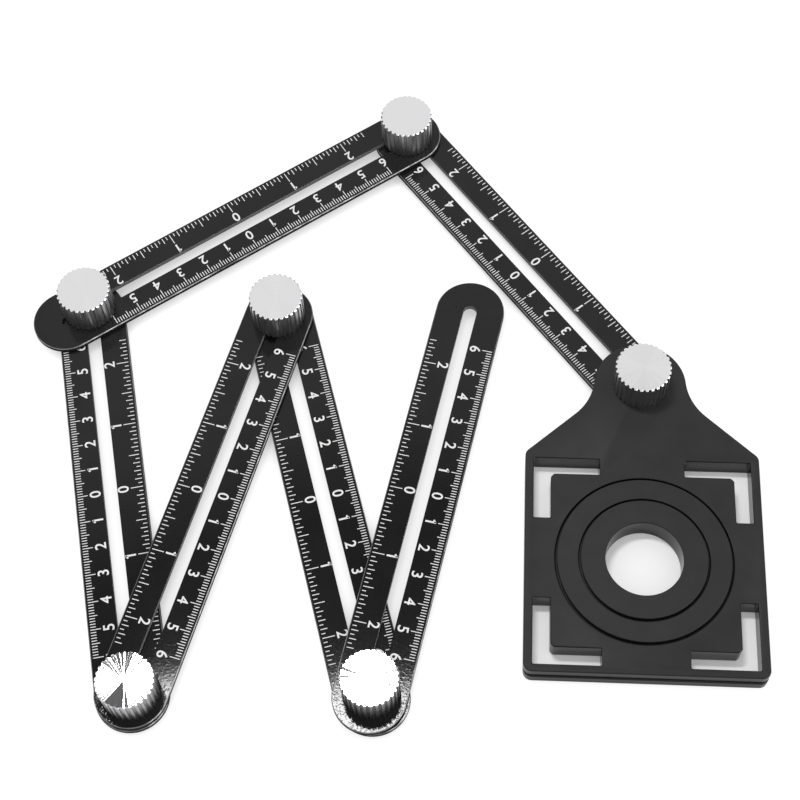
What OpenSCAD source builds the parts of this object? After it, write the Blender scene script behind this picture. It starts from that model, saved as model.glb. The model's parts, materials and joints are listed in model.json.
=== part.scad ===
// Multi-angle folding ruler.
// Six slotted arms form a zigzag chain. A bolt and a fluted knob clamp each crossing.
// The chain starts at a two-layer locator plate that holds two nested guide rings.
// The origin is on the axis of the guide hole, in the plane that the ruler lies on.

/* [Arms] */
// Overall length of an arm
arm_l = 175; // [160:1:190]
// Width of an arm
arm_w = 25; // [22:0.5:28]
// Thickness of an arm
arm_t = 2; // [1.5:0.1:3]
// Metal left between the end of an arm and the end of its slot
slot_margin = 10.2; // [8:0.1:14]
// Chamfer along the outer edges of an arm
arm_chamfer = 0.3; // [0.1:0.05:0.6]

/* [Bolts] */
// Diameter of a bolt's shank
bolt_d = 4; // [3:0.1:4.5]
// Radial clearance of a shank in the pivot hole or a knob
bolt_fit = 0.1; // [0.03:0.01:0.1]
// Clearance across a shank in a slot
slot_play = 1; // [0.4:0.1:1.4]
// Diameter of a bolt's head
head_d = 12; // [10:0.5:15]
// Thickness of a bolt's head
head_t = 2; // [1.5:0.1:3]
// Length of shank inside a knob
bolt_grip = 8; // [5:0.5:9]

/* [Knobs] */
// Diameter of a knob over its flutes
knob_d = 19.5; // [16:0.5:22]
// Height of a knob
knob_h = 13; // [11:0.5:18]
// Number of flutes round a knob
flute_n = 30; // [20:1:36]
// Width of a flute's round groove
flute_w = 1.2; // [0.8:0.1:1.5]
// Chamfer round the top and the foot of a knob
knob_chamfer = 0.3; // [0.2:0.1:1.2]
// Depth of a knob's bore beyond the tip of the shank
bore_spare = 1; // [0.5:0.1:1.5]

/* [Locator plate] */
// Width of the plate
plate_w = 81; // [78:0.5:90]
// Distance from the guide hole's axis to the top layer's front edge
plate_front = 40.5; // [39.5:0.25:46]
// Distance from the guide hole's axis to the shoulder corners
plate_back = 39.5; // [38.5:0.25:44]
// Thickness of the plate's top layer
plate_t = 4.2; // [3:0.1:5]
// Radius of the plate's front corners and shoulder corners
plate_corner_r = 3; // [1:0.25:4]
// How far the base layer's sides lie inside the top layer's
base_inset = 0.1; // [0.1:0.1:0.8]
// How far the base layer stands out in front of the top layer
base_step = 0.5; // [0.2:0.1:1]
// Slope of the shoulders, in degrees from the width direction
shoulder_slope = 41.6; // [36:0.1:45]
// Distance from the guide hole's axis to the first pivot
pivot_reach = 67.1; // [62:0.1:72]
// Radius of the round boss at the pivot
boss_r = 16.3; // [14:0.1:19]
// Radius of the hollow between a shoulder and the boss
neck_fillet_r = 20; // [12:0.5:22]

/* [Windows] */
// Plate left between a window and the side edge
window_side = 3; // [2:0.25:4]
// Plate left between a window and the top layer's front edge
window_front = 2.75; // [2:0.25:4.5]
// Plate left between a window and the line through the shoulder corners
window_back = 2.25; // [1.5:0.25:3]
// Distance between the near ends of neighbouring windows
window_gap = 29.25; // [24:0.25:36]
// Width of a window's two legs
window_w = 5.9; // [5:0.1:6.5]
// Chamfer on the inside of a window's bend
window_chamfer = 1.2; // [0.5:0.1:2]

/* [Guide rings] */
// Diameter of the outer ring's flange
outer_ring_d = 59; // [57:0.5:62]
// Diameter of the inner ring's flange
inner_ring_d = 43; // [40:0.5:47]
// Diameter of the guide hole
guide_d = 26.25; // [20:0.25:32]
// Radial width of each flange beyond its spigot
ring_lip = 2; // [1.5:0.1:2.5]
// Thickness of each flange
flange_t = 2; // [1.5:0.1:2.8]
// Height by which each flange stands above what it sits in
ring_rise = 0.5; // [0.3:0.1:1.4]
// Radial clearance of each spigot in its bore
ring_fit = 0.1; // [0.05:0.05:0.3]
// Radial width of the groove round each flange
ring_groove = 0.7; // [0.2:0.1:0.9]

/* [Pose] */
// Direction of arm 1 from the plate's width direction, in degrees
heading_1 = 129.05; // [126:0.05:132]
// Direction of arm 2, in degrees
heading_2 = 215.3; // [213:0.05:218]
// Direction of arm 3, in degrees
heading_3 = 102.75; // [101:0.05:104]
// Direction of arm 4, in degrees
heading_4 = -104.45; // [-106:0.05:-103]
// Direction of arm 5, in degrees
heading_5 = -73.6; // [-75:0.05:-72]
// Direction of arm 6, in degrees
heading_6 = -101.2; // [-103:0.05:-100]
// Distance of bolt 1 from its stop in arm 1's slot
setback_1 = 10.2; // [6:0.1:12]
// Distance of bolt 2 from its stops in the slots of arms 1 and 2
setback_2 = 0.8; // [0.2:0.1:3]
// Distance of bolt 3 from its stop in arm 2's slot
setback_3 = 9.7; // [6:0.1:12]
// Distance of bolt 4 from its stop in arm 3's slot
setback_4 = 0.5; // [0.1:0.1:3]
// Distance of bolt 5 from its stops in the slots of arms 4 and 5
setback_5 = 0.6; // [0.1:0.1:3]
// Distance of bolt 6 from its stops in the slots of arms 5 and 6
setback_6 = 2.4; // [0.2:0.1:4]
// Distance of bolts 3 and 4 from their stops in the slots of arms 3 and 4
setback = 0.1; // [0.1:0.1:1]
// Gap between faces that lie on each other, with the knobs loose
play = 0.1; // [0.05:0.05:0.2]

/* [Hidden] */
$fn = 96;
// Overlap that lets a cut run clear of a face
cut = 1;
arm_n = 6;

// Heights of the layers
low_z = head_t + play;
high_z = low_z + arm_t + play;
arm_knob_z = high_z + arm_t + play;
base_t = high_z;
plate_top = base_t + plate_t;
plate_knob_z = plate_top + play;
outer_ring_top = plate_top + ring_rise;
inner_ring_top = outer_ring_top + ring_rise;
flange_seat = flange_t - ring_rise;

// Fits
bolt_hole_d = bolt_d + 2 * bolt_fit;
slot_w = bolt_d + slot_play;
slot_l = arm_l - 2 * slot_margin;
bolt_reach = slot_l / 2 - bolt_d / 2;
outer_spigot_r = outer_ring_d / 2 - ring_lip;
inner_spigot_r = inner_ring_d / 2 - ring_lip;
plate_bore_r = outer_spigot_r + ring_fit;
plate_recess_r = outer_ring_d / 2 + ring_groove;
ring_bore_r = inner_spigot_r + ring_fit;
ring_recess_r = inner_ring_d / 2 + ring_groove;

// The chain: each arm's direction, the end of its slot that is nearer the plate,
// and the distance of its two bolts from their stops
headings = [heading_1, heading_2, heading_3, heading_4, heading_5, heading_6];
near_end = [-1, -1, 1, 1, -1, 1];
near_setback = [setback_1, setback_2, setback, setback, setback_5, setback_6];
far_setback = [setback_2, setback_3, setback_4, setback_5, setback_6];

function direction(i) = [cos(headings[i]), sin(headings[i])];
function near_bolt(i) = near_end[i] * (bolt_reach - near_setback[i]);
function far_bolt(i) = -near_end[i] * (bolt_reach - far_setback[i]);
function pivot(i) = i == 0
    ? [0, pivot_reach]
    : pivot(i - 1) + (far_bolt(i - 1) - near_bolt(i - 1)) * direction(i - 1);
function arm_centre(i) = pivot(i) - near_bolt(i) * direction(i);
function is_low(i) = i % 2 == 0;
function knob_z(i) = i == 0 ? plate_knob_z : arm_knob_z;

// The neck: each corner is a circle that touches the side and the shoulder line,
// and each hollow is a circle that touches the shoulder line and the boss
shoulder = [plate_w / 2, plate_back];
shoulder_dir = [-cos(shoulder_slope), sin(shoulder_slope)];
shoulder_normal = [sin(shoulder_slope), cos(shoulder_slope)];
corner_lean = (1 - sin(shoulder_slope)) / cos(shoulder_slope);
corner_centre = shoulder - plate_corner_r * [1, corner_lean];
corner_side = corner_centre + [plate_corner_r, 0];
corner_touch = corner_centre + plate_corner_r * shoulder_normal;
boss_centre = [0, pivot_reach];
hollow_start = shoulder + neck_fillet_r * shoulder_normal - boss_centre;
hollow_lead = hollow_start * shoulder_dir;
hollow_reach = boss_r + neck_fillet_r;
hollow_run = -hollow_lead - sqrt(hollow_lead ^ 2 - hollow_start * hollow_start + hollow_reach ^ 2);
hollow_touch = shoulder + hollow_run * shoulder_dir;
hollow_centre = hollow_touch + neck_fillet_r * shoulder_normal;

function mirror_x(p) = [-p[0], p[1]];

// Flat outlines

module slot_outline(length, width) {
    square([length - width, width], center = true);
    for (side = [-1, 1]) translate([side * (length - width) / 2, 0]) circle(d = width);
}

module body_outline(half_w, front, back) {
    r = plate_corner_r;
    translate([-half_w, r - front]) square([2 * half_w, front + back - r]);
    translate([r - half_w, -front]) square([2 * (half_w - r), front + back]);
    for (side = [-1, 1]) translate([side * (half_w - r), r - front]) circle(r);
}

module neck_outline() {
    difference() {
        polygon([
            mirror_x(corner_side), corner_side, corner_touch, hollow_touch, hollow_centre,
            boss_centre, mirror_x(hollow_centre), mirror_x(hollow_touch), mirror_x(corner_touch)
        ]);
        translate(hollow_centre) circle(neck_fillet_r);
        translate(mirror_x(hollow_centre)) circle(neck_fillet_r);
    }
    translate(corner_centre) circle(plate_corner_r);
    translate(mirror_x(corner_centre)) circle(plate_corner_r);
    translate(boss_centre) circle(boss_r);
}

module window_outline(across, along) {
    far_x = plate_w / 2 - window_side;
    far_y = along < 0 ? plate_front - window_front : plate_back - window_back;
    near = window_gap / 2;
    bend_x = far_x - window_w;
    bend_y = far_y - window_w;
    corner = [
        [near, far_y], [far_x, far_y], [far_x, near], [bend_x, near],
        [bend_x, bend_y - window_chamfer], [bend_x - window_chamfer, bend_y], [near, bend_y]
    ];
    polygon([for (point = corner) [across * point[0], along * point[1]]]);
}

module windows(height) {
    for (across = [-1, 1], along = [-1, 1])
        translate([0, 0, -cut])
            linear_extrude(height + 2 * cut) window_outline(across, along);
}

// Solids

module chamfered_bar(length, width, thick, edge) {
    half = width / 2;
    half_section = [
        [0, 0], [half - edge, 0], [half, edge], [half, thick - edge], [half - edge, thick], [0, thick]
    ];
    full_section = concat(half_section, [
        [edge - half, thick], [-half, thick - edge], [-half, edge], [edge - half, 0]
    ]);
    straight = length - width;
    translate([-straight / 2, 0, 0])
        rotate([90, 0, 90])
            linear_extrude(straight) polygon(full_section);
    for (turn = [0, 180])
        rotate(turn)
            translate([straight / 2, 0, 0])
                rotate(-90)
                    rotate_extrude(angle = 180) polygon(half_section);
}

module arm(i) {
    color("#26272a")
        translate([each arm_centre(i), is_low(i) ? low_z : high_z])
            rotate(headings[i])
                difference() {
                    chamfered_bar(arm_l, arm_w, arm_t, arm_chamfer);
                    translate([0, 0, -cut])
                        linear_extrude(arm_t + 2 * cut) slot_outline(slot_l, slot_w);
                }
}

module bolt(i) {
    color("#a9abad")
        translate(pivot(i)) {
            cylinder(h = head_t, d = head_d);
            cylinder(h = knob_z(i) + bolt_grip, d = bolt_d);
        }
}

module knob(i) {
    r = knob_d / 2;
    c = knob_chamfer;
    color("#d6d7d9")
        translate([each pivot(i), knob_z(i)])
            difference() {
                rotate_extrude()
                    polygon([[0, 0], [r - c, 0], [r, c], [r, knob_h - c], [r - c, knob_h], [0, knob_h]]);
                for (flute = [0:flute_n - 1])
                    rotate(360 * flute / flute_n)
                        translate([r, 0, -cut])
                            cylinder(h = knob_h + 2 * cut, d = flute_w);
                translate([0, 0, -cut])
                    cylinder(h = bolt_grip + bore_spare + cut, d = bolt_hole_d);
            }
}

module locator_plate() {
    color("#3b3c3e")
        difference() {
            translate([0, 0, base_t])
                linear_extrude(plate_t) {
                    body_outline(plate_w / 2, plate_front, corner_centre[1]);
                    neck_outline();
                }
            windows(plate_top);
            translate([0, 0, -cut]) cylinder(h = plate_top + 2 * cut, r = plate_bore_r);
            translate([0, 0, plate_top - flange_seat]) cylinder(h = flange_seat + cut, r = plate_recess_r);
            translate([each boss_centre, -cut]) cylinder(h = plate_top + 2 * cut, d = bolt_hole_d);
        }
}

module locator_base() {
    color("#303133")
        difference() {
            linear_extrude(base_t)
                body_outline(plate_w / 2 - base_inset, plate_front + base_step, corner_centre[1]);
            windows(base_t);
            translate([0, 0, -cut]) cylinder(h = base_t + 2 * cut, r = plate_bore_r);
        }
}

module outer_ring() {
    seat = outer_ring_top - flange_t;
    recess = outer_ring_top - flange_seat;
    color("#35363a")
        rotate_extrude()
            polygon([
                [ring_bore_r, 0], [outer_spigot_r, 0], [outer_spigot_r, seat], [outer_ring_d / 2, seat],
                [outer_ring_d / 2, outer_ring_top], [ring_recess_r, outer_ring_top],
                [ring_recess_r, recess], [ring_bore_r, recess]
            ]);
}

module inner_ring() {
    seat = inner_ring_top - flange_t;
    color("#3a3b3f")
        rotate_extrude()
            polygon([
                [guide_d / 2, 0], [inner_spigot_r, 0], [inner_spigot_r, seat], [inner_ring_d / 2, seat],
                [inner_ring_d / 2, inner_ring_top], [guide_d / 2, inner_ring_top]
            ]);
}

locator_plate();
locator_base();
outer_ring();
inner_ring();
for (i = [0:arm_n - 1]) {
    arm(i);
    bolt(i);
    knob(i);
}
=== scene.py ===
# %% [markdown]
# # A multi-angle folding ruler
# Six slotted arms fold over each other in a zigzag. A fluted knob clamps each crossing, and the chain
# ends in a black locator plate with two nested guide rings. The rigid parts come ready made and in
# place. This lesson dresses them: it adds finishes, softened edges, turned knobs and printed scales.

# %% Load the rigid parts
import json
import math

import bmesh
import bpy
from mathutils import Matrix, Vector


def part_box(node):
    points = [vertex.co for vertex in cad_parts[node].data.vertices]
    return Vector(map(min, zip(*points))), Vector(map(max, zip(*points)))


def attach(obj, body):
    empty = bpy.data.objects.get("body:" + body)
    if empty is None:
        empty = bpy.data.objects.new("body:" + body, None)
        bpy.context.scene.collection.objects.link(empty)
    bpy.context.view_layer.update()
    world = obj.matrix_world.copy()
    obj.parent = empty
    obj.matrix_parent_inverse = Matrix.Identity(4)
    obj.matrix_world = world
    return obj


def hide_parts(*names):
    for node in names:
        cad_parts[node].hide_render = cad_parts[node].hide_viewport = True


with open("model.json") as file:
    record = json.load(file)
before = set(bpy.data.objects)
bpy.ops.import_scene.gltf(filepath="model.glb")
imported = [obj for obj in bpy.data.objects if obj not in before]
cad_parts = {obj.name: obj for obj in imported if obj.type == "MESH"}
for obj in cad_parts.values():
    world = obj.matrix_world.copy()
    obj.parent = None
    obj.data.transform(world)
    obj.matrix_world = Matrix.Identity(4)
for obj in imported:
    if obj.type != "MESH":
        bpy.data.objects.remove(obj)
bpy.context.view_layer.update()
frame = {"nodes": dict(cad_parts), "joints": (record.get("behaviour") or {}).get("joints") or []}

MM = 0.001

# %% [markdown]
# ## The camera
# The ruler was photographed from the front and well above it, with a short telephoto lens. A camera
# can be aimed by eye with a Track To constraint, but here its place and its three turns are known, so
# they are set directly: first the lean away from straight down, then a small roll and a small swing.

# %% Set up the camera
PHOTO_SIDE_PX = 800
FOCAL_LENGTH_PX = 1671.6
SENSOR_MM = 36.0
CAMERA_PLACE = Vector((-57.0, -216.8, 535.9)) * MM
CAMERA_SWING = math.radians(5.88)
CAMERA_LEAN = math.radians(27.67)
CAMERA_ROLL = math.radians(-3.69)
NEAREST_SEEN = 1 * MM
FARTHEST_SEEN = 20.0

lens = bpy.data.cameras.new("photo_camera")
lens.sensor_width = SENSOR_MM
lens.lens = FOCAL_LENGTH_PX / PHOTO_SIDE_PX * SENSOR_MM
lens.clip_start = NEAREST_SEEN
lens.clip_end = FARTHEST_SEEN
camera = bpy.data.objects.new("photo_camera", lens)
turn = (
    Matrix.Rotation(CAMERA_SWING, 4, "Z")
    @ Matrix.Rotation(CAMERA_LEAN, 4, "X")
    @ Matrix.Rotation(CAMERA_ROLL, 4, "Z")
)
camera.matrix_world = Matrix.Translation(CAMERA_PLACE) @ turn
bpy.context.scene.collection.objects.link(camera)
bpy.context.scene.camera = camera
bpy.context.scene.view_settings.view_transform = "Standard"
print("lens in mm:", round(lens.lens, 1))

# %% [markdown]
# ## Helpers for node materials
# A finish is a small graph of nodes round the Principled shader. Building each graph by hand is long,
# so these helpers add a node with its settings and inputs in one call. All patterns read Object
# coordinates: every piece sits at the origin, so one metre of pattern is one metre of the ruler.

# %% Write the node helpers
def add_node(tree, kind, inputs=None, **settings):
    """Adds a node. An input is a plain value, or an output of another node to link from."""
    made = tree.nodes.new(kind)
    for name, value in settings.items():
        setattr(made, name, value)
    for name, value in (inputs or {}).items():
        socket = made.inputs[name]
        if isinstance(value, bpy.types.NodeSocket):
            tree.links.new(value, socket)
        else:
            socket.default_value = value
    return made


def new_finish(name):
    """Starts a material, and returns it with its tree, its shader and its Object coordinates."""
    finish = bpy.data.materials.new(name)
    finish.use_nodes = True
    tree = finish.node_tree
    shader = tree.nodes["Principled BSDF"]
    place = add_node(tree, "ShaderNodeTexCoord").outputs["Object"]
    return finish, tree, shader, place


print("ways to start a finish ready")

# %% Write the pattern helpers
MIX_A, MIX_B, MIX_RESULT = 6, 7, 2


def speckle(tree, place, size, detail=2.0):
    """A noise pattern whose blotches are about the given size, in metres."""
    inputs = {"Vector": place, "Scale": 1 / size, "Detail": detail}
    return add_node(tree, "ShaderNodeTexNoise", inputs).outputs["Fac"]


def spread(tree, value, low, high, start=0.3, end=0.7):
    """Stretches a pattern from its usual span to the span from low to high."""
    inputs = {"Value": value, "From Min": start, "From Max": end, "To Min": low, "To Max": high}
    return add_node(tree, "ShaderNodeMapRange", inputs).outputs["Result"]


def blend_colours(tree, share, first, second):
    """Mixes two colours, each a plain colour or an output of another node, by a share from 0 to 1."""
    mix = add_node(tree, "ShaderNodeMix", {"Factor": share}, data_type="RGBA")
    for index, colour in ((MIX_A, first), (MIX_B, second)):
        if isinstance(colour, bpy.types.NodeSocket):
            tree.links.new(colour, mix.inputs[index])
        else:
            mix.inputs[index].default_value = (*colour, 1)
    return mix.outputs[MIX_RESULT]


def calculate(tree, operation, a, b=0.0):
    """One step of arithmetic on patterns or numbers."""
    return add_node(tree, "ShaderNodeMath", {0: a, 1: b}, operation=operation).outputs[0]


def vector_step(tree, operation, a, b=(0, 0, 0)):
    """One step of vector arithmetic on patterns or plain vectors."""
    return add_node(tree, "ShaderNodeVectorMath", {0: a, 1: b}, operation=operation).outputs


def bump(tree, shader, height, strength, depth):
    """Gives the shader a fine relief from a pattern; depth is in metres."""
    inputs = {"Height": height, "Strength": strength, "Distance": depth}
    made = add_node(tree, "ShaderNodeBump", inputs)
    tree.links.new(made.outputs["Normal"], shader.inputs["Normal"])


print("pattern helpers ready")

# %% [markdown]
# ## Floor and light
# The ruler lies on a white sheet. A white background could come from very strong light, but that would
# bleach the object. So the floor glows, only for rays that come from the camera or from shiny surfaces,
# and its own grey part still takes the ruler's shadow. The glow fades where the arms close the floor
# in. Under the plate there is little glow and more white paper, so the deep windows and the hole shade
# it as they should.

# %% Lay the floor
FLOOR_SIDE = 8.0
FLOOR_DROP = 0.2 * MM


def seen_directly(tree):
    """1 for rays from the camera, a reflection or a clear material, and 0 for diffuse light."""
    path = add_node(tree, "ShaderNodeLightPath").outputs
    seen = calculate(tree, "ADD", path["Is Camera Ray"], path["Is Glossy Ray"])
    seen = calculate(tree, "ADD", seen, path["Is Transmission Ray"])
    return calculate(tree, "MINIMUM", seen, 1.0)


floor_mesh = bpy.data.meshes.new("floor")
floor_shape = bmesh.new()
bmesh.ops.create_grid(floor_shape, x_segments=1, y_segments=1, size=FLOOR_SIDE / 2)
bmesh.ops.translate(floor_shape, verts=floor_shape.verts, vec=(0, 0, -FLOOR_DROP))
floor_shape.to_mesh(floor_mesh)
floor_shape.free()
floor = bpy.data.objects.new("floor", floor_mesh)
bpy.context.scene.collection.objects.link(floor)
print("floor side in m:", FLOOR_SIDE)

# %% Make the white sheet
FLOOR_GREY = 0.22
FLOOR_GLOW = 0.90
CLOSED_GLOW = 0.42
CLOSED_REACH = 20 * MM
CLOSED_SHARE = (0.1, 0.56)
MIRRORED_SHARE = (0.2, 0.95)
PLATE_REACH = 38.5 * MM
PLATE_GLOW = 0.2
PAPER_WHITE = 0.95


def glow_of(tree, in_the_open):
    """How strongly the sheet glows: less where it is closed in, and least under the plate."""
    open_share = add_node(tree, "ShaderNodeAmbientOcclusion", {"Distance": CLOSED_REACH}).outputs["AO"]
    plain = spread(tree, open_share, CLOSED_GLOW, FLOOR_GLOW, *CLOSED_SHARE)
    mirrored = spread(tree, open_share, 0.0, FLOOR_GLOW, *MIRRORED_SHARE)
    glossy_ray = add_node(tree, "ShaderNodeLightPath").outputs["Is Glossy Ray"]
    glow = spread(tree, glossy_ray, plain, mirrored, 0.0, 1.0)
    glow = spread(tree, in_the_open, PLATE_GLOW, glow, 0.0, 1.0)
    return calculate(tree, "MULTIPLY", seen_directly(tree), glow)


floor_finish, sheet, unused_shader, spot = new_finish("white_sheet")
sheet.nodes.remove(unused_shader)
spot = add_node(sheet, "ShaderNodeSeparateXYZ", {"Vector": spot}).outputs
off_centre = [calculate(sheet, "ABSOLUTE", spot[axis]) for axis in "XY"]
in_the_open = calculate(sheet, "GREATER_THAN", calculate(sheet, "MAXIMUM", *off_centre), PLATE_REACH)
paper_colour = blend_colours(sheet, in_the_open, (PAPER_WHITE,) * 3, (FLOOR_GREY,) * 3)
paper = add_node(sheet, "ShaderNodeBsdfDiffuse", {"Color": paper_colour}).outputs[0]
glow = add_node(sheet, "ShaderNodeEmission", {"Strength": glow_of(sheet, in_the_open)}).outputs[0]
both = add_node(sheet, "ShaderNodeAddShader")
sheet.links.new(paper, both.inputs[0])
sheet.links.new(glow, both.inputs[1])
sheet.links.new(both.outputs[0], sheet.nodes["Material Output"].inputs["Surface"])
floor.data.materials.append(floor_finish)
print("floor grey and glow:", FLOOR_GREY, FLOOR_GLOW)

# %% [markdown]
# One soft lamp hangs overhead, and a pale room fills the shadows. Bare metal shows whatever stands
# round it, so for reflections the room also has a bright window in the east, which lights one side of
# each knob, and a dark ceiling, which keeps the black arms black. A picture of a studio could do the
# same, but two angles are enough here: how high a ray goes, and how near it comes to the window.

# %% Hang the lamp
LAMP_PLACE = Vector((-225, 222, 1000)) * MM
LAMP_SIDES = (260 * MM, 95 * MM)
LAMP_POWER = 3.9

lamp_data = bpy.data.lights.new("overhead_softbox", "AREA")
lamp_data.shape = "RECTANGLE"
lamp_data.size = LAMP_SIDES[0]
lamp_data.size_y = LAMP_SIDES[1]
lamp_data.energy = LAMP_POWER
lamp = bpy.data.objects.new("overhead_softbox", lamp_data)
lamp.location = LAMP_PLACE
bpy.context.scene.collection.objects.link(lamp)
print("lamp radiance:", round(LAMP_POWER / (math.pi * LAMP_SIDES[0] * LAMP_SIDES[1]), 2))

# %% Fill the room with light
ROOM_LIGHT = 0.63
WALL_LIGHT = 0.9
WINDOW_LIGHT = 4.5
WINDOW_TO = Vector((0.88, -0.38, 0.28))
WINDOW_EDGE = (math.cos(math.radians(38)), math.cos(math.radians(28)))
CEILING_LIGHT = 0.12
CEILING_EDGE = (math.cos(math.radians(28)), math.cos(math.radians(24)))

room = bpy.data.worlds.new("white_room")
room.use_nodes = True
room_tree = room.node_tree
direction = add_node(room_tree, "ShaderNodeTexCoord").outputs["Generated"]
height = add_node(room_tree, "ShaderNodeSeparateXYZ", {"Vector": direction}).outputs["Z"]
to_window = vector_step(room_tree, "DOT_PRODUCT", direction, WINDOW_TO.normalized())["Value"]
walls = spread(room_tree, to_window, WALL_LIGHT, WINDOW_LIGHT, *WINDOW_EDGE)
mirrored = spread(room_tree, height, walls, CEILING_LIGHT, *CEILING_EDGE)
strength = spread(room_tree, seen_directly(room_tree), ROOM_LIGHT, mirrored, 0.0, 1.0)
backdrop = room_tree.nodes["Background"]
backdrop.inputs["Color"].default_value = (1, 1, 1, 1)
room_tree.links.new(strength, backdrop.inputs["Strength"])
bpy.context.scene.world = room
print("room light:", ROOM_LIGHT)

# %% [markdown]
# ## Where each arm lies
# The finish and the scales have to follow the arms. Each arm is the same shape turned end for end, so
# the middle of its box is its centre, and the pivot that joins it to the arm before gives its
# direction. The sign says at which end of its scale that pivot sits.

# %% Work out the arms' axes
ARM_COUNT = 6
PIVOT_END = {1: -1, 2: -1, 3: 1, 4: 1, 5: -1, 6: 1}
pivots = {}
for joint in frame["joints"]:
    if joint["name"].startswith("knob_"):
        number = int(joint["name"].split("_")[1])
        pivots[number] = Vector(joint["pos_m"])


def arm_axes(number):
    """A matrix with X along the arm's scale, Y towards its centimetre edge and Z up from its top face."""
    low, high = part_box(f"arm_{number}")
    centre = (low + high) / 2
    along = (pivots[number] - centre) * PIVOT_END[number]
    along.z = 0
    along.normalize()
    across = Vector((-along.y, along.x, 0))
    axes = Matrix.Identity(4)
    axes.col[0][:3] = along
    axes.col[1][:3] = across
    axes.col[3][:3] = (centre.x, centre.y, high.z)
    return axes


for number in range(1, ARM_COUNT + 1):
    along = arm_axes(number).col[0]
    print("arm", number, "points to", round(math.degrees(math.atan2(along[1], along[0])), 1), "degrees")

# %% [markdown]
# ## Black anodised arms
# The arms are thin aluminium strip, chamfered and dyed black. Their glossy faces have shallow pits,
# deepest at the ends where the knobs rub, so a lamp shows there as a patch of bright specks. The
# chamfers have lost a little dye, and the slots were milled last, so their walls are half bare. The
# outer walls are given a darker colour, painted shade. These zones could be painted by hand, but simple
# measures find them: which way the surface faces, and how far it lies from the arm's centre along its
# length and its width.

# %% Find the zones of an arm
SLOT_ZONE = (79 * MM, 3.5 * MM)
WALL_FACING = 0.3
FLAT_FACING = 0.95


def facing_up(tree):
    """1 on a face that points up, 0 on an upright wall, and -1 on a face that points down."""
    facing = add_node(tree, "ShaderNodeNewGeometry").outputs["True Normal"]
    return add_node(tree, "ShaderNodeSeparateXYZ", {"Vector": facing}).outputs["Z"]


def offset_along(tree, place, axes, column):
    """Distance from an arm's centre along its length (column 0) or its width (column 1)."""
    from_centre = vector_step(tree, "SUBTRACT", place, axes.col[3][:3])["Vector"]
    offset = vector_step(tree, "DOT_PRODUCT", from_centre, axes.col[column][:3])["Value"]
    return calculate(tree, "ABSOLUTE", offset)


def arm_zones(tree, place, axes):
    """Three masks: upper chamfers, walls of the slot, and outer walls."""
    upward = facing_up(tree)
    above_walls = calculate(tree, "GREATER_THAN", upward, WALL_FACING)
    flat = calculate(tree, "GREATER_THAN", upward, FLAT_FACING)
    chamfer = calculate(tree, "SUBTRACT", above_walls, flat)
    wall = calculate(tree, "LESS_THAN", calculate(tree, "ABSOLUTE", upward), WALL_FACING)
    slot_wall = wall
    for column, reach in enumerate(SLOT_ZONE):
        inner = calculate(tree, "LESS_THAN", offset_along(tree, place, axes, column), reach)
        slot_wall = calculate(tree, "MULTIPLY", slot_wall, inner)
    return chamfer, slot_wall, calculate(tree, "SUBTRACT", wall, slot_wall)


print("slot zone in mm:", [round(reach / MM, 1) for reach in SLOT_ZONE])

# %% Make the anodised finish
DYE_DARK = (0.0105, 0.0105, 0.0110)
DYE_LIGHT = (0.0140, 0.0138, 0.0145)
# The outer walls' colour is darker than the faces': painted shade.
PAINTED_WALL_SHADE = (0.004, 0.004, 0.004)
DYE_PATCH = 12 * MM
BARE_ALUMINIUM = (0.72, 0.72, 0.73)
CHAMFER_BARE = (0.16, 0.40)
CHAMFER_PATCH = 3 * MM
SLOT_BARE = 0.4


def dyed_colour(tree, place, zones):
    """The dye with painted shade on the outer walls and with its bare places, and the share of bare
    metal.
    """
    chamfer, slot_wall, outer_wall = zones
    worn = spread(tree, speckle(tree, place, CHAMFER_PATCH), *CHAMFER_BARE)
    worn = calculate(tree, "MULTIPLY", chamfer, worn)
    bare = calculate(tree, "ADD", worn, calculate(tree, "MULTIPLY", slot_wall, SLOT_BARE))
    dye = blend_colours(tree, spread(tree, speckle(tree, place, DYE_PATCH), 0, 1), DYE_DARK, DYE_LIGHT)
    # The outer walls get a darker colour than the faces: painted shade.
    dye = blend_colours(tree, outer_wall, dye, PAINTED_WALL_SHADE)
    return blend_colours(tree, bare, dye, BARE_ALUMINIUM), bare


print("bare share of the slot walls:", SLOT_BARE)

# %% Dress the arms
FACE_ROUGHNESS = (0.05, 0.08)
FACE_GRAIN = 0.5 * MM
FACE_SPECULAR = 0.24
WALL_ROUGHNESS = 0.9
PIT_SIZE = 0.75 * MM
PIT_SPAN = (0.5, 0.68)
PIT_DEPTH = 0.02 * MM
PIT_STRENGTH = 0.5
RUBBED_ENDS = (65 * MM, 73 * MM)
RUBBED_DEPTH = (0.22, 1.0)


def anodised_black(number):
    finish, tree, shader, place = new_finish(f"anodised_black_{number}")
    axes = arm_axes(number)
    zones = arm_zones(tree, place, axes)
    colour, bare = dyed_colour(tree, place, zones)
    tree.links.new(colour, shader.inputs["Base Color"])
    tree.links.new(bare, shader.inputs["Metallic"])
    face = spread(tree, speckle(tree, place, FACE_GRAIN), *FACE_ROUGHNESS)
    wall = calculate(tree, "ADD", zones[1], zones[2])
    tree.links.new(spread(tree, wall, face, WALL_ROUGHNESS, 0.0, 1.0), shader.inputs["Roughness"])
    shader.inputs["Specular IOR Level"].default_value = FACE_SPECULAR
    pits = spread(tree, speckle(tree, place, PIT_SIZE, detail=1.0), 0, 1, *PIT_SPAN)
    rubbed = spread(tree, offset_along(tree, place, axes, 0), *RUBBED_DEPTH, *RUBBED_ENDS)
    bump(tree, shader, calculate(tree, "MULTIPLY", pits, rubbed), PIT_STRENGTH, PIT_DEPTH)
    return finish


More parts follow.
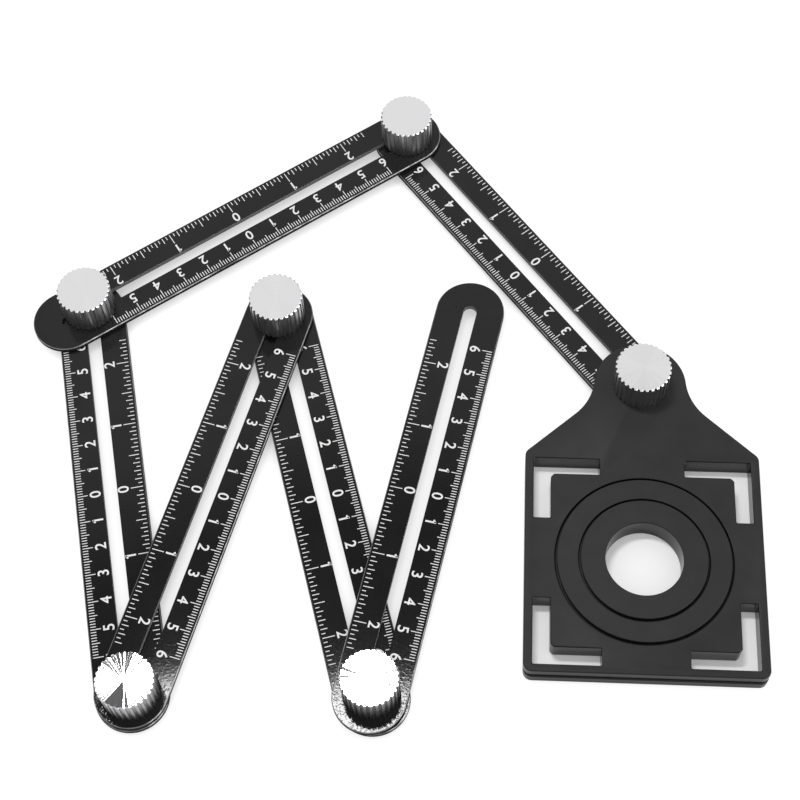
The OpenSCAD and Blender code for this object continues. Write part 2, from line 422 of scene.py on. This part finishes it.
def dress(node, finish):
    """Gives a rigid part a better finish through its own material slots."""
    for slot in frame["nodes"][node].material_slots:
        slot.material = finish


for number in range(1, ARM_COUNT + 1):
    dress(f"arm_{number}", anodised_black(number))
print("arms dressed:", ARM_COUNT)

# %% [markdown]
# ## Bolts
# A flat-headed steel bolt comes up through each crossing from below. Only the heads show, and only
# from underneath. Their finish is plain drawn steel with faint marks from the die.

# %% Make the steel finish
STEEL_DARK = (0.42, 0.42, 0.43)
STEEL_LIGHT = (0.56, 0.56, 0.57)
STEEL_GRAIN = 0.6 * MM
STEEL_ROUGHNESS = (0.3, 0.45)
STEEL_RELIEF = (0.2, 0.02 * MM)


def drawn_steel():
    finish, tree, shader, place = new_finish("drawn_steel")
    marks = speckle(tree, place, STEEL_GRAIN, detail=4.0)
    colour = blend_colours(tree, spread(tree, marks, 0, 1), STEEL_DARK, STEEL_LIGHT)
    tree.links.new(colour, shader.inputs["Base Color"])
    shader.inputs["Metallic"].default_value = 1.0
    tree.links.new(spread(tree, marks, *STEEL_ROUGHNESS), shader.inputs["Roughness"])
    bump(tree, shader, marks, *STEEL_RELIEF)
    return finish


bolt_finish = drawn_steel()
for number in range(1, ARM_COUNT + 1):
    dress(f"bolt_{number}", bolt_finish)
print("bolts dressed:", ARM_COUNT)

# %% [markdown]
# ## Locator plate and rings
# The plate, its base and the two rings are moulded black plastic with a fine matt texture. The mould's
# upright walls are smoother. Their colour, and that of the bevels, is darker: painted shade. Moulded
# edges are never sharp. The edge could be faked in the shader, but a real bevel also shows in the
# outline, so each part is copied, its loose triangles are merged, and its sharp edges are bevelled.
# Where the two layers meet inside the windows and the bore they were trimmed together, so those edges
# stay sharp and no seam shows there.

# %% Make the moulded finish
PLASTIC_DARK = (0.0205, 0.0205, 0.0215)
PLASTIC_LIGHT = (0.0255, 0.0255, 0.0268)
# Upright walls and bevels get a darker colour, painted shade.
PAINTED_EDGE_SHADE = (0.006, 0.006, 0.006)
PLASTIC_PATCH = 9 * MM
PLASTIC_GRAIN = 0.3 * MM
PLASTIC_ROUGHNESS = (0.42, 0.56)
PLASTIC_SPECULAR = 0.2
PLASTIC_RELIEF = (0.3, 0.03 * MM)
EDGE_ROUGHNESS = 0.2
EDGE_FACING = (0.8, 0.97)


def moulded_black():
    finish, tree, shader, place = new_finish("moulded_black")
    patches = spread(tree, speckle(tree, place, PLASTIC_PATCH), 0, 1)
    colour = blend_colours(tree, patches, PLASTIC_DARK, PLASTIC_LIGHT)
    steep = calculate(tree, "ABSOLUTE", facing_up(tree))
    upright = spread(tree, steep, 1.0, 0.0, *EDGE_FACING)
    # Upright walls and bevels are darkened: painted shade.
    tree.links.new(blend_colours(tree, upright, colour, PAINTED_EDGE_SHADE), shader.inputs["Base Color"])
    grain = speckle(tree, place, PLASTIC_GRAIN, detail=3.0)
    matt = spread(tree, grain, *PLASTIC_ROUGHNESS)
    tree.links.new(spread(tree, upright, matt, EDGE_ROUGHNESS, 0.0, 1.0), shader.inputs["Roughness"])
    shader.inputs["Specular IOR Level"].default_value = PLASTIC_SPECULAR
    bump(tree, shader, grain, *PLASTIC_RELIEF)
    return finish


plastic_finish = moulded_black()
print("finish made:", plastic_finish.name)

# %% Soften a part's edges
SHARP_TURN = math.radians(30)
MOULDED_TURN = math.radians(20)
FLAT_TURN = math.radians(0.5)
WELD = 0.002 * MM
SEAM_REACH = Vector((39, 39)) * MM


def new_piece(name, shape, sharp_turn, *finishes):
    """Turns a bmesh into an object at the origin, smooth except where it turns sharply."""
    mesh = bpy.data.meshes.new(name)
    shape.to_mesh(mesh)
    shape.free()
    mesh.shade_smooth()
    mesh.set_sharp_from_angle(angle=sharp_turn)
    for finish in finishes:
        mesh.materials.append(finish)
    piece = bpy.data.objects.new(name, mesh)
    bpy.context.scene.collection.objects.link(piece)
    return piece


def on_inner_seam(edge, seam):
    """True for an edge in the plane between the two layers, and not on the plate's outline."""
    middle = (edge.verts[0].co + edge.verts[1].co) / 2
    inside = abs(middle.x) < SEAM_REACH.x and abs(middle.y) < SEAM_REACH.y
    return inside and abs(middle.z - seam) < WELD


def softened_copy(node, name, finish, edge):
    """Copies a rigid part, merges its triangles into faces and bevels its sharp edges."""
    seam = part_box("locator_base")[1].z
    shape = bmesh.new()
    shape.from_mesh(frame["nodes"][node].data)
    bmesh.ops.remove_doubles(shape, verts=shape.verts, dist=WELD)
    bmesh.ops.dissolve_limit(shape, angle_limit=FLAT_TURN, verts=shape.verts, edges=shape.edges)
    sharp = [e for e in shape.edges if len(e.link_faces) == 2 and e.calc_face_angle() > SHARP_TURN]
    sharp = [e for e in sharp if not on_inner_seam(e, seam)]
    bmesh.ops.bevel(
        shape, geom=sharp, offset=edge, offset_type="OFFSET", affect="EDGES",
        segments=2, profile=0.5, material=-1, clamp_overlap=True,
    )
    return new_piece(name, shape, MOULDED_TURN, finish)


print("edges count as sharp from", round(math.degrees(SHARP_TURN)), "degrees")

# %% Fit the moulded parts
MOULDED = {
    "locator_plate": ("locator", "plate_plastic", 0.4 * MM),
    "locator_base": ("locator", "base_plastic", 0.4 * MM),
    "outer_ring": ("outer_ring", "ring_plastic", 0.3 * MM),
    "inner_ring": ("inner_ring", "ring_plastic", 0.3 * MM),
}
for node, (body, slot_name, edge) in MOULDED.items():
    piece = softened_copy(node, f"moulded_{node}", plastic_finish, edge)
    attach(piece, body)
    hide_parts(node)
    print(piece.name, "faces:", len(piece.data.polygons))

# %% [markdown]
# ## White scale ink
# The scales are screen printed in white. Thin ink is never quite even, so the finish mixes two whites
# and roughens a little.

# %% Make the ink finish
INK_DULL = (0.76, 0.76, 0.75)
INK_WHITE = (0.92, 0.92, 0.91)
INK_PATCH = 0.8 * MM
INK_ROUGHNESS = (0.6, 0.45)


def white_ink():
    finish, tree, shader, place = new_finish("white_ink")
    wear = speckle(tree, place, INK_PATCH)
    colour = blend_colours(tree, spread(tree, wear, 0, 1), INK_DULL, INK_WHITE)
    tree.links.new(colour, shader.inputs["Base Color"])
    tree.links.new(spread(tree, wear, *INK_ROUGHNESS), shader.inputs["Roughness"])
    return finish


ink_finish = white_ink()
print("finish made:", ink_finish.name)

# %% [markdown]
# ## Printed scales
# Each arm has a centimetre scale along one edge and an inch scale along the other, both counted out
# from the middle. A picture of the scale could be mapped on, but real marks stay crisp from any
# distance. Every tick is a low box, stretched and placed by one matrix, and a loop repeats it.

# %% Lay out the ticks
INK_TOP = 0.03 * MM
INK_SUNK = 0.01 * MM
INK_THICK = INK_TOP + INK_SUNK
INK_MIDDLE = (INK_TOP - INK_SUNK) / 2
TICK_W = 0.29 * MM
EDGE_GAP = 0.95 * MM
ARM_W = 25 * MM
CM_EDGE, INCH_EDGE = 1, -1
SIXTEENTH = 25.4 * MM / 16
MM_STEPS = 60
SIXTEENTH_STEPS = 38
MM_TICKS = ((10, 3.6 * MM), (5, 2.8 * MM), (1, 1.9 * MM))
SIXTEENTH_TICKS = ((16, 4.3 * MM), (8, 3.6 * MM), (2, 2.4 * MM), (1, 1.4 * MM))


def tick_length(step, lengths):
    """The rounder the measure that a step falls on, the longer its tick."""
    return next(length for round_step, length in lengths if step % round_step == 0)


def add_tick(shape, axes, along, length, edge):
    """Adds one tick, whose outer end lies inside the arm's edge."""
    middle = edge * (ARM_W / 2 - EDGE_GAP - length / 2)
    place = Matrix.Translation((along, middle, INK_MIDDLE))
    size = Matrix.Diagonal((TICK_W, length, INK_THICK, 1))
    bmesh.ops.create_cube(shape, size=1, matrix=axes @ place @ size)


def add_ticks(shape, axes):
    for step in range(-MM_STEPS, MM_STEPS + 1):
        add_tick(shape, axes, step * MM, tick_length(step, MM_TICKS), CM_EDGE)
    for step in range(-SIXTEENTH_STEPS, SIXTEENTH_STEPS + 1):
        add_tick(shape, axes, step * SIXTEENTH, tick_length(step, SIXTEENTH_TICKS), INCH_EDGE)


print("ticks on each arm:", 2 * MM_STEPS + 1 + 2 * SIXTEENTH_STEPS + 1)

# %% Draw the numerals
NUMERAL_H = 3.8 * MM
BOLDER = 0.06 * MM
CM_LAST = 6
FONT_CAP_H = 0.7
STROKE_W = 0.65 * MM
FLAG_L = 1.25 * MM
FLAG_SLANT = math.radians(38)


def font_digit(digit):
    """A digit of the built-in font as a thin solid."""
    letters = bpy.data.curves.new(f"digit_{digit}", "FONT")
    letters.body = str(digit)
    letters.size = NUMERAL_H / FONT_CAP_H
    letters.extrude = INK_THICK / 2
    letters.offset = BOLDER
    letters.align_x = "CENTER"
    holder = bpy.data.objects.new(letters.name, letters)
    bpy.context.scene.collection.objects.link(holder)
    bpy.context.view_layer.update()
    mesh = bpy.data.meshes.new_from_object(holder.evaluated_get(bpy.context.evaluated_depsgraph_get()))
    bpy.data.objects.remove(holder)
    return mesh


def flagged_one():
    """The font's 1 is a bare bar, so this one is a bar with a slanted flag at its top."""
    shape = bmesh.new()
    bmesh.ops.create_cube(shape, size=1, matrix=Matrix.Diagonal((STROKE_W, NUMERAL_H, INK_THICK, 1)))
    flag = (
        Matrix.Translation((-FLAG_L / 3, NUMERAL_H / 2 - FLAG_L / 2, 0))
        @ Matrix.Rotation(FLAG_SLANT, 4, "Z")
        @ Matrix.Diagonal((FLAG_L, STROKE_W, INK_THICK, 1))
    )
    bmesh.ops.create_cube(shape, size=1, matrix=flag)
    mesh = bpy.data.meshes.new("digit_1")
    shape.to_mesh(mesh)
    shape.free()
    return mesh


def numeral_mesh(digit):
    """A digit as a thin solid, centred on the origin in its height and resting in the arm's face."""
    mesh = flagged_one() if digit == 1 else font_digit(digit)
    heights = [v.co.y for v in mesh.vertices]
    mesh.transform(Matrix.Translation((0, -(min(heights) + max(heights)) / 2, INK_MIDDLE)))
    return mesh


numerals = {digit: numeral_mesh(digit) for digit in range(CM_LAST + 1)}
print("digits drawn:", len(numerals))

# %% Print the scales
NUMERAL_GAP = 0.75 * MM
INCH_LAST = 2


def add_numeral(shape, axes, digit, along, across):
    first = len(shape.verts)
    shape.from_mesh(numerals[digit])
    shape.verts.ensure_lookup_table()
    place = axes @ Matrix.Translation((along, across, 0))
    bmesh.ops.transform(shape, matrix=place, verts=shape.verts[first:])


def add_numerals(shape, axes):
    inset = ARM_W / 2 - EDGE_GAP - NUMERAL_GAP - NUMERAL_H / 2
    cm_row = CM_EDGE * (inset - tick_length(0, MM_TICKS))
    inch_row = INCH_EDGE * (inset - tick_length(0, SIXTEENTH_TICKS))
    for count in range(-CM_LAST, CM_LAST + 1):
        add_numeral(shape, axes, abs(count), 10 * count * MM, cm_row)
    for count in range(-INCH_LAST, INCH_LAST + 1):
        add_numeral(shape, axes, abs(count), 16 * count * SIXTEENTH, inch_row)


for number in range(1, ARM_COUNT + 1):
    axes = arm_axes(number)
    shape = bmesh.new()
    add_ticks(shape, axes)
    add_numerals(shape, axes)
    scale = new_piece(f"scale_{number}", shape, SHARP_TURN, ink_finish)
    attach(scale, f"arm_{number}")
    print(scale.name, "faces:", len(scale.data.polygons))

# %% [markdown]
# ## Turned and fluted knobs
# A knob is turned from aluminium bar: its top is faced on a lathe, its rim is chamfered, and straight
# flutes are cut along its side. One disc makes it all. Each extrude of its face lifts a new ring, and
# the ring's points then move in or out by the flute's shape. The flutes are deeper than the chamfer, so
# they run out into the top face and give it a scalloped rim.

# %% Work out the flutes
KNOB_R = 9.75 * MM
KNOB_CHAMFER = 0.3 * MM
FLUTES = 30
POINTS_PER_FLUTE = 10
FLUTE_DEPTH = 0.6 * MM
FLUTE_HALF = 0.294
LEAST_CHAMFER = 0.03 * MM


def fluted_radius(angle):
    """Distance of the fluted side from the knob's axis: round grooves between wider teeth."""
    phase = (angle * FLUTES / (2 * math.pi)) % 1.0
    across = min(1.0, abs(phase - 0.5) / FLUTE_HALF)
    return KNOB_R - FLUTE_DEPTH * math.sqrt(1 - across * across)


def chamfer_at(angle):
    """Width of the chamfer that is left at an angle: almost none inside a flute."""
    return max(fluted_radius(angle) - (KNOB_R - KNOB_CHAMFER), LEAST_CHAMFER)


def rim_radius(angle):
    return fluted_radius(angle) - chamfer_at(angle)


print("points round a knob:", FLUTES * POINTS_PER_FLUTE)

# %% Shape the knob
BORE_R = 2.1 * MM
BORE_DEPTH = 9 * MM


def extruded(shape, face):
    """Extrudes one face and returns the new face at the end."""
    made = bmesh.ops.extrude_face_region(shape, geom=[face])["geom"]
    return next(item for item in made if isinstance(item, bmesh.types.BMFace))


def lift(shape, face, radius, height):
    """Extrudes a face and moves its points to a radius and a height that depend on their angle."""
    top = extruded(shape, face)
    bmesh.ops.delete(shape, geom=[face], context="FACES_ONLY")
    for point in top.verts:
        angle = math.atan2(point.co.y, point.co.x)
        r = radius(angle)
        point.co = (r * math.cos(angle), r * math.sin(angle), height(angle))
    return top


def knob_shape(height):
    """A knob with a blind bore, and the faces of its top and upper chamfer."""
    shape = bmesh.new()
    bmesh.ops.create_circle(shape, cap_ends=True, segments=FLUTES * POINTS_PER_FLUTE, radius=BORE_R)
    bmesh.ops.translate(shape, verts=shape.verts, vec=(0, 0, BORE_DEPTH))
    shape.faces.ensure_lookup_table()
    face = extruded(shape, shape.faces[0])
    bmesh.ops.translate(shape, verts=face.verts, vec=(0, 0, -BORE_DEPTH))
    face = lift(shape, face, rim_radius, lambda angle: 0.0)
    face = lift(shape, face, fluted_radius, chamfer_at)
    face = lift(shape, face, fluted_radius, lambda angle: height - chamfer_at(angle))
    lift(shape, face, rim_radius, lambda angle: height)
    bmesh.ops.recalc_face_normals(shape, faces=shape.faces)
    top = [face for face in shape.faces if face.calc_center_median().z > height - KNOB_CHAMFER]
    return shape, top


print("knob bore in mm:", round(2 * BORE_R / MM, 1))

# %% [markdown]
# ## Bare turned aluminium
# Facing on a lathe leaves fine rings, and the rings drag every reflection out into spokes. The shader's
# anisotropy makes the spokes when its tangent runs out from the knob's axis. A vibrating tool also
# leaves chatter, a slight tilt that changes from spoke to spoke, and breaks the reflection into dark
# and bright streaks. It could be carved, but a tilt of the shading normal shows it at no cost. One
# knob sits a hair out of square and catches the edge of the lamp, so its normal has a small lean of
# its own. The fluted side has no rings, so it has another finish, duller; its colour is also darker
# than the top's, painted shade.

# %% Make the turned finish
ALUMINIUM_DARK = (0.74, 0.74, 0.75)
ALUMINIUM_LIGHT = (0.88, 0.88, 0.89)
TOP_ROUGHNESS = (0.06, 0.09)
TOP_ANISOTROPY = 0.93
RING_PITCH = 0.16 * MM
CHATTER_STEP = 0.075
CHATTER_TILT = 0.013
TOP_LEAN = {4: (-0.002, -0.0185, 0.0)}
SQUARE = (0.0, 0.0, 0.0)


def to_world(tree, direction):
    """Turns a direction on the piece into one in the world, as the shader's inputs need it."""
    settings = {"vector_type": "VECTOR", "convert_from": "OBJECT", "convert_to": "WORLD"}
    return add_node(tree, "ShaderNodeVectorTransform", {"Vector": direction}, **settings).outputs[0]


def tilted_normal(tree, outward, lean):
    """The surface's normal, rocked sideways from spoke to spoke by the chatter, and leaning."""
    sideways = vector_step(tree, "CROSS_PRODUCT", outward, (0, 0, 1))["Vector"]
    marks = speckle(tree, outward, CHATTER_STEP, detail=0.0)
    chatter = spread(tree, marks, -CHATTER_TILT, CHATTER_TILT)
    tilt = add_node(tree, "ShaderNodeVectorMath", {0: sideways, "Scale": chatter}, operation="SCALE")
    tilt = vector_step(tree, "ADD", tilt.outputs["Vector"], lean)["Vector"]
    normal = add_node(tree, "ShaderNodeNewGeometry").outputs["Normal"]
    return vector_step(tree, "ADD", normal, to_world(tree, tilt))["Vector"]


def turned_top(number):
    finish, tree, shader, place = new_finish(f"turned_top_{number}")
    from_axis = vector_step(tree, "SUBTRACT", place, pivots[number])["Vector"]
    from_axis = vector_step(tree, "MULTIPLY", from_axis, (1, 1, 0))["Vector"]
    radius = vector_step(tree, "LENGTH", from_axis)["Value"]
    ring_place = add_node(tree, "ShaderNodeCombineXYZ", {"X": radius}).outputs[0]
    rings = speckle(tree, ring_place, RING_PITCH, detail=3.0)
    colour = blend_colours(tree, spread(tree, rings, 0, 1), ALUMINIUM_DARK, ALUMINIUM_LIGHT)
    tree.links.new(colour, shader.inputs["Base Color"])
    shader.inputs["Metallic"].default_value = 1.0
    shader.inputs["Anisotropic"].default_value = TOP_ANISOTROPY
    tree.links.new(spread(tree, rings, *TOP_ROUGHNESS), shader.inputs["Roughness"])
    outward = vector_step(tree, "NORMALIZE", from_axis)["Vector"]
    tree.links.new(to_world(tree, outward), shader.inputs["Tangent"])
    tree.links.new(tilted_normal(tree, outward, TOP_LEAN.get(number, SQUARE)), shader.inputs["Normal"])
    return finish


print("knobs out of square:", list(TOP_LEAN))

# %% Make the fluted finish
# The side's colour is darker than the top's: painted shade.
SHADED_SIDE_DARK = (0.44, 0.44, 0.45)
SHADED_SIDE_LIGHT = (0.56, 0.56, 0.57)
SIDE_GRAIN = 0.5 * MM
SIDE_ROUGHNESS = (0.28, 0.34)


def fluted_side():
    finish, tree, shader, place = new_finish("fluted_side")
    marks = speckle(tree, place, SIDE_GRAIN, detail=4.0)
    colour = blend_colours(tree, spread(tree, marks, 0, 1), SHADED_SIDE_DARK, SHADED_SIDE_LIGHT)
    tree.links.new(colour, shader.inputs["Base Color"])
    shader.inputs["Metallic"].default_value = 1.0
    tree.links.new(spread(tree, marks, *SIDE_ROUGHNESS), shader.inputs["Roughness"])
    return finish


side_finish = fluted_side()
print("finish made:", side_finish.name)

# %% Fit the knobs
TOP_SLOT = 1
for number in range(1, ARM_COUNT + 1):
    low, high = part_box(f"knob_{number}")
    shape, top = knob_shape(high.z - low.z)
    for face in top:
        face.material_index = TOP_SLOT
    bmesh.ops.translate(shape, verts=shape.verts, vec=(pivots[number].x, pivots[number].y, low.z))
    knob = new_piece(f"fluted_knob_{number}", shape, SHARP_TURN, side_finish, turned_top(number))
    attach(knob, f"knob_{number}")
    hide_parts(f"knob_{number}")
    print(knob.name, "faces:", len(knob.data.polygons))
